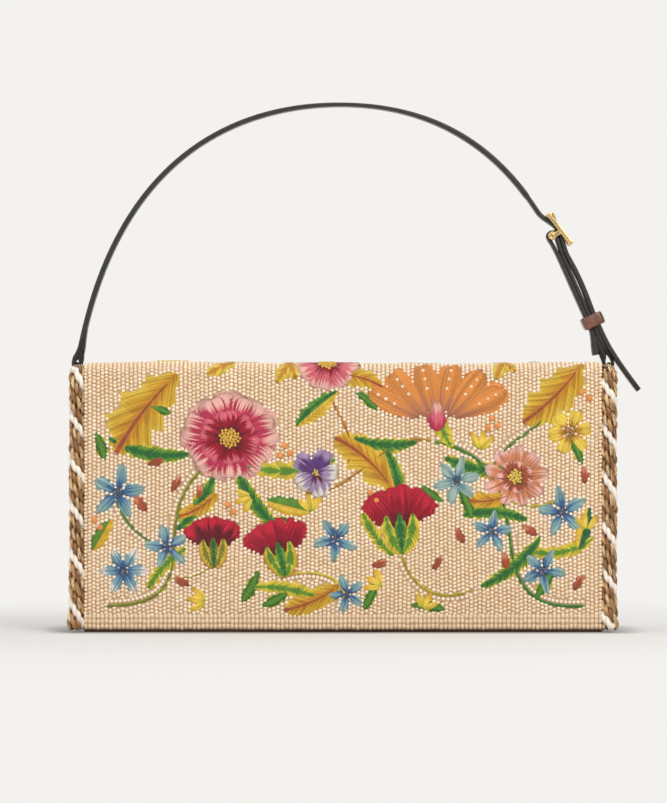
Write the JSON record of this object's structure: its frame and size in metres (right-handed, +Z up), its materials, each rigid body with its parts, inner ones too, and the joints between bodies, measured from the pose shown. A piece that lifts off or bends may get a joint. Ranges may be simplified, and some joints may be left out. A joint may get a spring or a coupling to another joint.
{
  "type": "shoulder bag",
  "caption": "Wide, low shoulder bag: a bead-covered flap folds over the top and front, with twisted rope trim and a leather strap with buckle and keeper.",
  "frame": {"origin": "middle of the body's footprint, on the surface that the bag stands on", "axes": "+X to the right as seen from the front, along the bag's longest side; +Y from the front to the back; +Z up"},
  "size_m": [0.2965, 0.0566, 0.2737],
  "materials": {
    "cloth": "woven cloth",
    "beadwork": "cloth closely covered with small glass beads and embroidery",
    "lining": "plain woven lining",
    "rope": "twisted cord, brown strands with one ivory strand",
    "black_leather": "smooth leather with painted edges",
    "brown_leather": "smooth leather",
    "base_leather": "smooth leather",
    "board": "pressed fibre board",
    "gold": "polished, plated",
    "steel": "plain"
  },
  "bodies": {
    "body": {"back_panel": "beadwork", "front_panel": "cloth", "gusset_left": "cloth", "gusset_right": "cloth", "base_panel": "base_leather", "base_board": "board", "lining": "lining", "inner_pocket": "lining", "body_magnets": "gold", "magnet_washers": "steel", "ring_tab_left": "black_leather", "ring_tab_right": "black_leather", "tab_rivets": "gold"},
    "flap_top": {"flap_top_panel": "beadwork", "flap_top_lining": "lining", "rope_top_left": "rope", "rope_top_right": "rope"},
    "flap_front": {"flap_front_panel": "beadwork", "flap_front_lining": "lining", "flap_magnets": "gold", "rope_front_left": "rope", "rope_front_right": "rope"},
    "strap": {"strap_long": "black_leather", "strap_short": "black_leather", "buckle_frame": "gold", "buckle_bar": "gold", "ring_left": "gold", "ring_right": "gold"},
    "keeper": {"keeper_loop": "brown_leather"},
    "prong": {"buckle_prong": "gold"}
  },
  "joints": [
    {"name": "flap_open", "type": "hinge", "parent": "body", "child": "flap_top", "pos_m": [0, 0.008, 0.138], "axis": [-1, 0, 0], "range_deg": [0, 70]},
    {"name": "flap_fold", "type": "hinge", "parent": "flap_top", "child": "flap_front", "pos_m": [0, -0.0224, 0.1402], "axis": [-1, 0, 0], "range_deg": [0, 80]},
    {"name": "strap_swing", "type": "hinge", "parent": "body", "child": "strap", "pos_m": [0, 0.016, 0.13], "axis": [-1, 0, 0], "range_deg": [0, 110]},
    {"name": "keeper_slide", "type": "slide", "parent": "strap", "child": "keeper", "axis": [-0.4067, 0, 0.9135], "range_m": [-0.002, 0.024]},
    {"name": "prong_lift", "type": "hinge", "parent": "strap", "child": "prong", "pos_m": [0.10881, 0.016, 0.20419], "axis": [0, 1, 0], "range_deg": [0, 25]}
  ]
}
